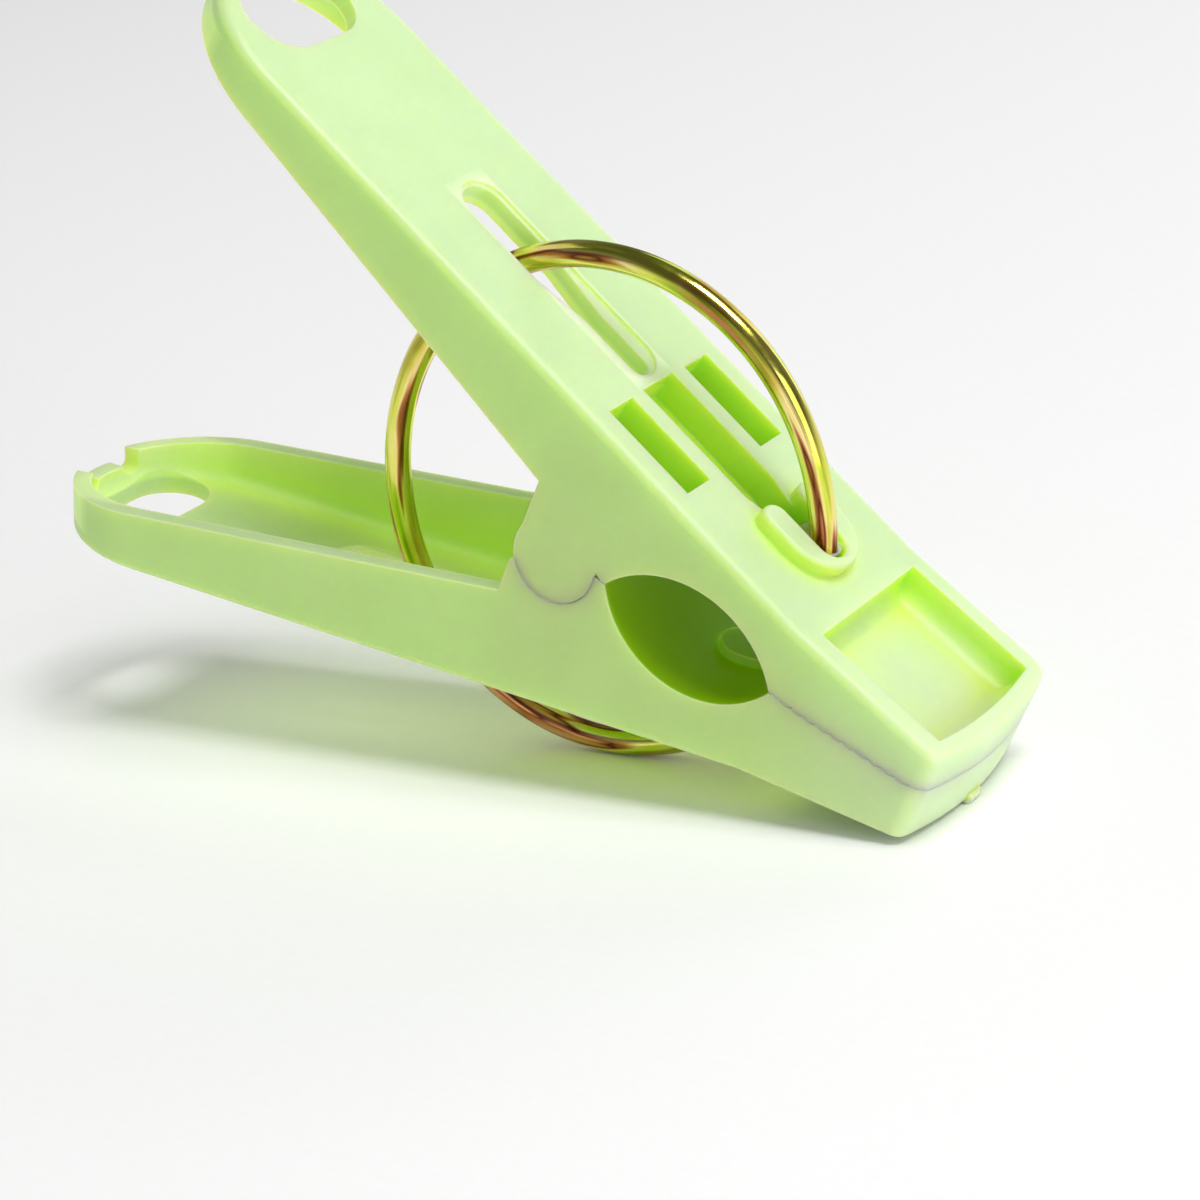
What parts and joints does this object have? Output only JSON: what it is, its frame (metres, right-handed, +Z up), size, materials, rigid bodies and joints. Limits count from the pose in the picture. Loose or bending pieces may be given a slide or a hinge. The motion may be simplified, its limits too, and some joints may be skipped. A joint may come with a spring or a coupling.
{
  "type": "clothespin",
  "caption": "Squeeze-handle clothespin: two moulded levers that rock on a knuckle, closed by one C-shaped ring spring of round wire.",
  "frame": {"origin": "on the table, under the middle of the clothespin's length, as it lies on its ring spring and the jaw tip's lower edge", "axes": "+Z up, +X towards the jaw tip, +Y across the width"},
  "size_m": [0.0858, 0.0188, 0.0647],
  "materials": {
    "lime_plastic": "satin, slightly translucent moulded polypropylene",
    "passivated_steel": "zinc plated, iridescent yellow passivated spring wire"
  },
  "bodies": {
    "lower_lever": {"lower_lever": "lime_plastic", "ring_spring": "passivated_steel"},
    "upper_lever": {"upper_lever": "lime_plastic"}
  },
  "joints": [
    {"name": "jaw_hinge", "type": "hinge", "parent": "lower_lever", "child": "upper_lever", "pos_m": [0.01062, 0, 0.02029], "axis": [0, -1, 0], "range_deg": [0, 22], "stiffness_Nm_per_rad": 0.3, "springref_deg": -17.19, "deforming": ["ring_spring"]}
  ]
}
